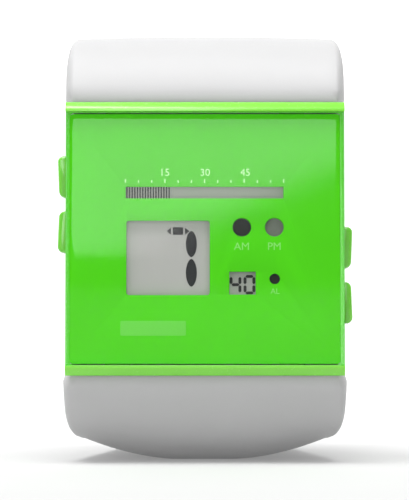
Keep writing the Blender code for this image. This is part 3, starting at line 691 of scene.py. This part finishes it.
def section(path, s, width, thick, bulge, columns):
    """One ring of the strap: outer row, one round edge, inner row back, other round edge."""
    y, z, fy, fz = path.at(s)
    edge = min(1.15, thick * 0.36)
    flat = width - edge
    drop = bulge * crown(flat)
    middle = (drop + thick + INNER_CROWN * drop) / 2
    half = middle - drop
    xs = [flat * (2 * i / columns - 1) for i in range(columns + 1)]
    turns = [math.pi * i / EDGE_STEPS for i in range(1, EDGE_STEPS)]
    points = [(x, bulge * crown(x)) for x in xs]
    points += [(flat + edge * math.sin(t) ** 0.9, middle - half * math.cos(t)) for t in turns]
    points += [(x, thick + INNER_CROWN * bulge * crown(x)) for x in reversed(xs)]
    points += [(-flat - edge * math.sin(t) ** 0.9, middle + half * math.cos(t)) for t in turns]
    return [Vector((x, y - fy * depth, z - fz * depth)) for x, depth in points]


def strap_mesh(path, widths, thicks, crowns, tip, spacing=0.9, columns=44):
    """A smooth strap lofted along its path, round at the hinge, with its hinge at the origin."""
    bm = bmesh.new()
    plain = path.length - tip
    count = round(plain / spacing)
    stations = [plain * i / count for i in range(count + 1)]
    if tip:
        stations += [path.length - tip * (1 - math.sin(t * math.pi / 40)) for t in range(1, 20)]
        stations.append(path.length - tip * 0.0008)
    rings = []
    for s in stations:
        width = smooth_between(widths, s)
        past = (s - plain) / tip if tip else 0.0
        if past > 0:
            width *= math.sqrt(max(0.0, 1 - past**2)) * 0.94 + 0.06
        ring = section(path, s, width, smooth_between(thicks, s) if s > 3 else between(thicks, s),
                       between(crowns, s), columns)
        rings.append([bm.verts.new(p) for p in ring])
    total = len(rings[0])
    for near, far in zip(rings, rings[1:]):
        for i in range(total):
            j = (i + 1) % total
            bm.faces.new((near[i], near[j], far[j], far[i]))
    bm.faces.new(rings[-1])
    close_knuckle(bm, path, rings[0], columns)
    return bm


def close_knuckle(bm, path, ring, columns):
    """The half round about the hinge's axis, with domed ends that meet the strap's round edges."""
    row = columns + 1
    _, _, fy, fz = path.at(0.0)
    start = math.atan2(fz, fy)
    lines = []
    for k in range(row):
        inner = ring[row + EDGE_STEPS - 1 + (row - 1 - k)]
        line = [ring[k]]
        for n in range(1, EDGE_STEPS):
            a = start + path.side * math.pi * n / EDGE_STEPS
            line.append(bm.verts.new((ring[k].co.x, HINGE_RADIUS * math.cos(a), HINGE_RADIUS * math.sin(a))))
        lines.append(line + [inner])
    for left, right in zip(lines, lines[1:]):
        for n in range(EDGE_STEPS):
            bm.faces.new((left[n], right[n], right[n + 1], left[n + 1]))
    far_edge = ring[row - 1 : row + EDGE_STEPS]
    near_edge = [ring[0], *reversed(ring[2 * row + EDGE_STEPS - 1 :]), ring[2 * row + EDGE_STEPS - 2]]
    for edge, line in ((near_edge, lines[0]), (far_edge, lines[-1])):
        for n in range(EDGE_STEPS):
            corners = [edge[n], edge[n + 1], line[n + 1], line[n]]
            unique = list(dict.fromkeys(corners))
            if len(unique) > 2:
                bm.faces.new(unique)


def cutter_mesh(outline, low, high):
    """A cutter pushed along x, from (y, z) points."""
    bm = bmesh.new()
    ends = [[bm.verts.new((x, a, b)) for a, b in outline] for x in (low, high)]
    bm.faces.new(ends[0])
    bm.faces.new(reversed(ends[1]))
    for i in range(len(outline)):
        j = (i + 1) % len(outline)
        bm.faces.new((ends[0][i], ends[1][i], ends[1][j], ends[0][j]))
    return mesh_of(bm, "cutter")


def carved(mesh, name, cutters):
    """The mesh with each cutter taken out of it."""
    holder = bpy.data.objects.new(name, mesh)
    bpy.context.scene.collection.objects.link(holder)
    tools = []
    for cutter in cutters:
        tool = bpy.data.objects.new("cutter", cutter)
        bpy.context.scene.collection.objects.link(tool)
        tools.append(tool)
        modifier = holder.modifiers.new("cut", "BOOLEAN")
        modifier.operation = "DIFFERENCE"
        modifier.object = tool
    result = mesh_from_object(holder, name)
    for tool in tools:
        bpy.data.objects.remove(tool)
    return result


def knuckle_cutters(path):
    """The spring bar's bore, and the room round each of the case's lugs."""
    _, _, fy, fz = path.at(0.0)
    dy, dz = path.side * fz, -path.side * fy

    def local(d, f):
        return d * dy + f * fy, d * dz + f * fz

    cutters = [cutter_mesh(circle((0, 0), BAR_RADIUS + 0.1, 32), -LUG_X[0], LUG_X[0])]
    mouth = [local(0, LUG_ROOM - 0.02), local(-3.8, LUG_ROOM - 0.1), local(-3.8, -3.8), local(0, -3.8)]
    for side in (-1, 1):
        low, high = sorted((side * (LUG_X[0] - 0.3), side * (LUG_X[1] + 0.3)))
        cutters.append(cutter_mesh(circle((0, 0), LUG_ROOM, 40), low, high))
        cutters.append(cutter_mesh(mouth, low, high))
    return cutters


def turned_cylinder(radius, low, high, sides=32):
    bm = bmesh.new()
    ends = [[bm.verts.new((a, b, z)) for a, b in circle((0, 0), radius, sides)] for z in (low, high)]
    bm.faces.new(ends[0])
    bm.faces.new(reversed(ends[1]))
    for i in range(sides):
        j = (i + 1) % sides
        bm.faces.new((ends[0][i], ends[0][j], ends[1][j], ends[1][i]))
    return mesh_of(bm, "cutter")


def make_straps(look):
    path = lower_path()
    bm = strap_mesh(path, LOWER_WIDTHS, LOWER_THICK, LOWER_CROWN, TIP_LENGTH)
    cutters = knuckle_cutters(path)
    for i in range(TAIL_HOLES):
        y, z, fy, fz = path.at(path.length - 13.0 - i * TAIL_HOLE_PITCH)
        hole = turned_cylinder(TAIL_HOLE_RADIUS, -6.0, 4.0)
        hole.transform(Vector((0, 0, 1)).rotation_difference(Vector((0, fy, fz))).to_matrix().to_4x4())
        hole.transform(Matrix.Translation(Vector((0, y, z)) * MM))
        cutters.append(hole)
    mesh = carved(mesh_of(bm, "strap_lower_skin"), "strap_lower_skin", cutters)
    mesh.transform(Matrix.Translation(LOWER_HINGE))
    body = "strap_lower"
    new_piece(body + "_skin", mesh, look["strap"], body, "strap_rubber", body, smooth=40.0)

    path = upper_path()
    bm = strap_mesh(path, UPPER_WIDTHS, UPPER_THICK, UPPER_CROWN, 0.0)
    bar = BUCKLE_HINGE - UPPER_HINGE
    bar_y, bar_z = bar.y / MM, bar.z / MM
    cutters = knuckle_cutters(path)
    cutters.append(cutter_mesh(circle((bar_y, bar_z), 0.85, 32), -14.0, 14.0))
    slot = rounded((bar_y - 3.0, bar_z - 3.0), (bar_y + 3.0, bar_z + 3.4), 0.1)
    cutters.append(cutter_mesh(slot, -1.6, 1.6))
    mesh = carved(mesh_of(bm, "strap_upper_skin"), "strap_upper_skin", cutters)
    mesh.transform(Matrix.Translation(UPPER_HINGE))
    body = "strap_upper"
    new_piece(body + "_skin", mesh, look["strap"], body, "strap_rubber", body, smooth=40.0)


# ---------------------------------------------------------------- hard pieces that keep their CAD shape


def colour_walls(shell, surface):
    """The shell's walls take the face's green, and only the bands above and below the lens stay lighter."""
    shell.data.materials.append(surface)
    to_case = CASE.inverted()
    for face in shell.data.polygons:
        if abs((to_case @ face.center).z) < LENS_HALF_HEIGHT * MM:
            face.material_index = 1


def make_spring(side, surface):
    """A button's return spring, put on the case with a mesh of its own. The real one shortens towards its seat in
    the case as the button goes in; this one keeps its CAD shape.
    """
    node = "button_spring_" + side
    spring = new_piece("coil_" + side, frame["nodes"][node].data.copy(), surface, "case", "steel", node)
    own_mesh(spring)


def make_hard_pieces(look):
    """CAD pieces with their edges rounded off, and CAD pieces that only get a better surface."""
    rounded_nodes = (
        ("case_housing", "case_shell", 0.16, "rim", "case", "green_plastic"),
        ("keeper_loop", "keeper_band", 0.3, "strap", "keeper", "strap_rubber"),
        ("buckle_frame", "buckle_loop", 0.1, "steel", "buckle_frame", "steel"),
        ("buckle_tongue", "buckle_pin", 0.18, "steel", "buckle_tongue", "steel"),
        ("case_back", "back_plate", 0.12, "plate", "case", "steel"),
    )
    for node, name, width, surface, body, slot in rounded_nodes:
        mesh = softened(node, width)
        piece = new_piece(name, mesh, look[surface], body, slot, node)
        if node == "case_housing":
            colour_walls(piece, look["wall"])
    for side in ("upper_left", "lower_left", "upper_right", "lower_right"):
        mesh = softened("button_" + side, 0.12, angle=24.0)
        body = "button_" + side
        new_piece("push_" + side, mesh, look["button"], body, "green_plastic", "button_" + side)
        make_spring(side, look["steel"])
    kept = {
        "lcd_panel": "lcd",
        "coin_cell": "cell",
        "battery_clip": "steel",
        "quartz_can": "steel",
        "circuit_board": "board",
        "timer_chip": "epoxy",
        "module_frame": "frame",
        "backlight_film": "film",
        "back_gasket": "rubber",
        "piezo_disc": "brass",
        "buzzer_spring": "steel",
        "buckle_spring_bar": "steel",
    }
    prefixes = {
        "zebra": "rubber",
        "key_contact": "brass",
        "back_screw": "plate",
        "spring_bar": "steel",
        "button_seal": "rubber",
        "button_clip": "steel",
    }
    for name, obj in frame["nodes"].items():
        surface = kept.get(name) or next((v for k, v in prefixes.items() if name.startswith(k)), None)
        if surface:
            obj.data.materials.clear()
            obj.data.materials.append(look[surface])


# ---------------------------------------------------------------- stage, light and camera


def area_light(name, place, target, size, power):
    light = bpy.data.lights.new(name, "AREA")
    light.shape = "RECTANGLE"
    light.size, light.size_y = size
    light.energy = power
    obj = bpy.data.objects.new(name, light)
    bpy.context.scene.collection.objects.link(obj)
    obj.location = place
    towards = Vector(target) - Vector(place)
    obj.rotation_euler = towards.to_track_quat("-Z", "Y").to_euler()
    return obj


def make_stage():
    bm = bmesh.new()
    profile = [(-2.5, 0.0), (0.5, 0.0)] + [(0.5 + 0.8 * math.sin(a), 0.8 - 0.8 * math.cos(a))
               for a in [math.pi / 2 * i / 24 for i in range(1, 25)]] + [(1.3, 3.0)]
    rows = [[bm.verts.new((x, y, z)) for x in (-3.0, 3.0)] for y, z in profile]
    for low, high in zip(rows, rows[1:]):
        bm.faces.new((low[0], low[1], high[1], high[0]))
    bmesh.ops.recalc_face_normals(bm, faces=bm.faces)
    mesh = bpy.data.meshes.new("floor")
    bm.to_mesh(mesh)
    bm.free()
    mesh.shade_smooth()
    floor = bpy.data.objects.new("floor", mesh)
    bpy.context.scene.collection.objects.link(floor)
    m = Nodes("floor_paper")
    tone = m.ramp(m.noise(3.0, 2.0), (0.3, shade(FLOOR_GREY, 0.98)), (0.7, FLOOR_GREY))
    m.link(tone, m.shader.inputs["Base Color"])
    m.set(Roughness=0.9)
    axes = m.add("ShaderNodeSeparateXYZ")
    m.link(m.place, axes.inputs["Vector"])
    glow = m.remap(axes.outputs["Y"], 0.08, STAGE_GLOW, -0.1, 0.45)
    m.link(glow, m.shader.inputs["Emission Strength"])
    m.shader.inputs["Emission Color"].default_value = (1.0, 1.0, 1.0, 1.0)
    mesh.materials.append(m.material)


def make_world(strength):
    world = bpy.data.worlds.new("studio")
    world.use_nodes = True
    background = world.node_tree.nodes["Background"]
    background.inputs["Color"].default_value = (1.0, 1.0, 1.0, 1.0)
    background.inputs["Strength"].default_value = strength
    bpy.context.scene.world = world


def make_lights():
    """A large soft light overhead, and one in front whose slanted edge shows in the lens."""
    centre = Vector((0.0, -0.03, 0.03))
    area_light("overhead", centre + Vector((-0.1, -0.2, 0.96)), centre, (0.9, 0.7), OVERHEAD_POWER)
    lean = math.radians(14.8)
    width, height = 0.34, 0.68
    corner = Vector((-0.03, -1.0, 0.08))
    along = Vector((math.sin(lean), 0.0, math.cos(lean)))
    left = Vector((-math.cos(lean), 0.0, math.sin(lean)))
    place = centre + corner + along * height / 2 + left * width / 2
    panel = area_light("front_panel", place, centre, (width, height), PANEL_POWER)
    panel.rotation_euler = (math.pi / 2, lean, 0.0)
    area_light("fill", centre + Vector((0.2, -1.2, 0.1)), centre, (1.6, 1.0), FILL_POWER)
    area_light("left_strip", centre + Vector((-0.8, -0.25, 0.15)), centre, (0.25, 0.8), STRIP_POWER)


CAMERA_DISTANCE = 0.5
CAMERA_PLACE = (-0.00007, 0.0291)  # x and z
CAMERA_LENS = 266.3
CAMERA_SENSOR = 36.0


def make_camera():
    """Level and face-on, in front of the lens."""
    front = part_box("crystal_lens")[0].y
    camera = bpy.data.cameras.new("camera")
    camera.sensor_fit = "VERTICAL"
    camera.sensor_height = CAMERA_SENSOR
    camera.lens = CAMERA_LENS
    camera.clip_end = 20.0
    obj = bpy.data.objects.new("camera", camera)
    bpy.context.scene.collection.objects.link(obj)
    obj.location = (CAMERA_PLACE[0], front - CAMERA_DISTANCE, CAMERA_PLACE[1])
    obj.rotation_euler = (math.pi / 2, 0.0, 0.0)
    bpy.context.scene.camera = obj


def main():
    look = make_materials()
    make_camera()
    make_stage()
    make_world(WORLD_LIGHT)
    make_lights()
    make_lens(look)
    make_face(look)
    make_display(look)
    make_straps(look)
    make_hard_pieces(look)
    bpy.context.scene.view_settings.view_transform = "Standard"


main()
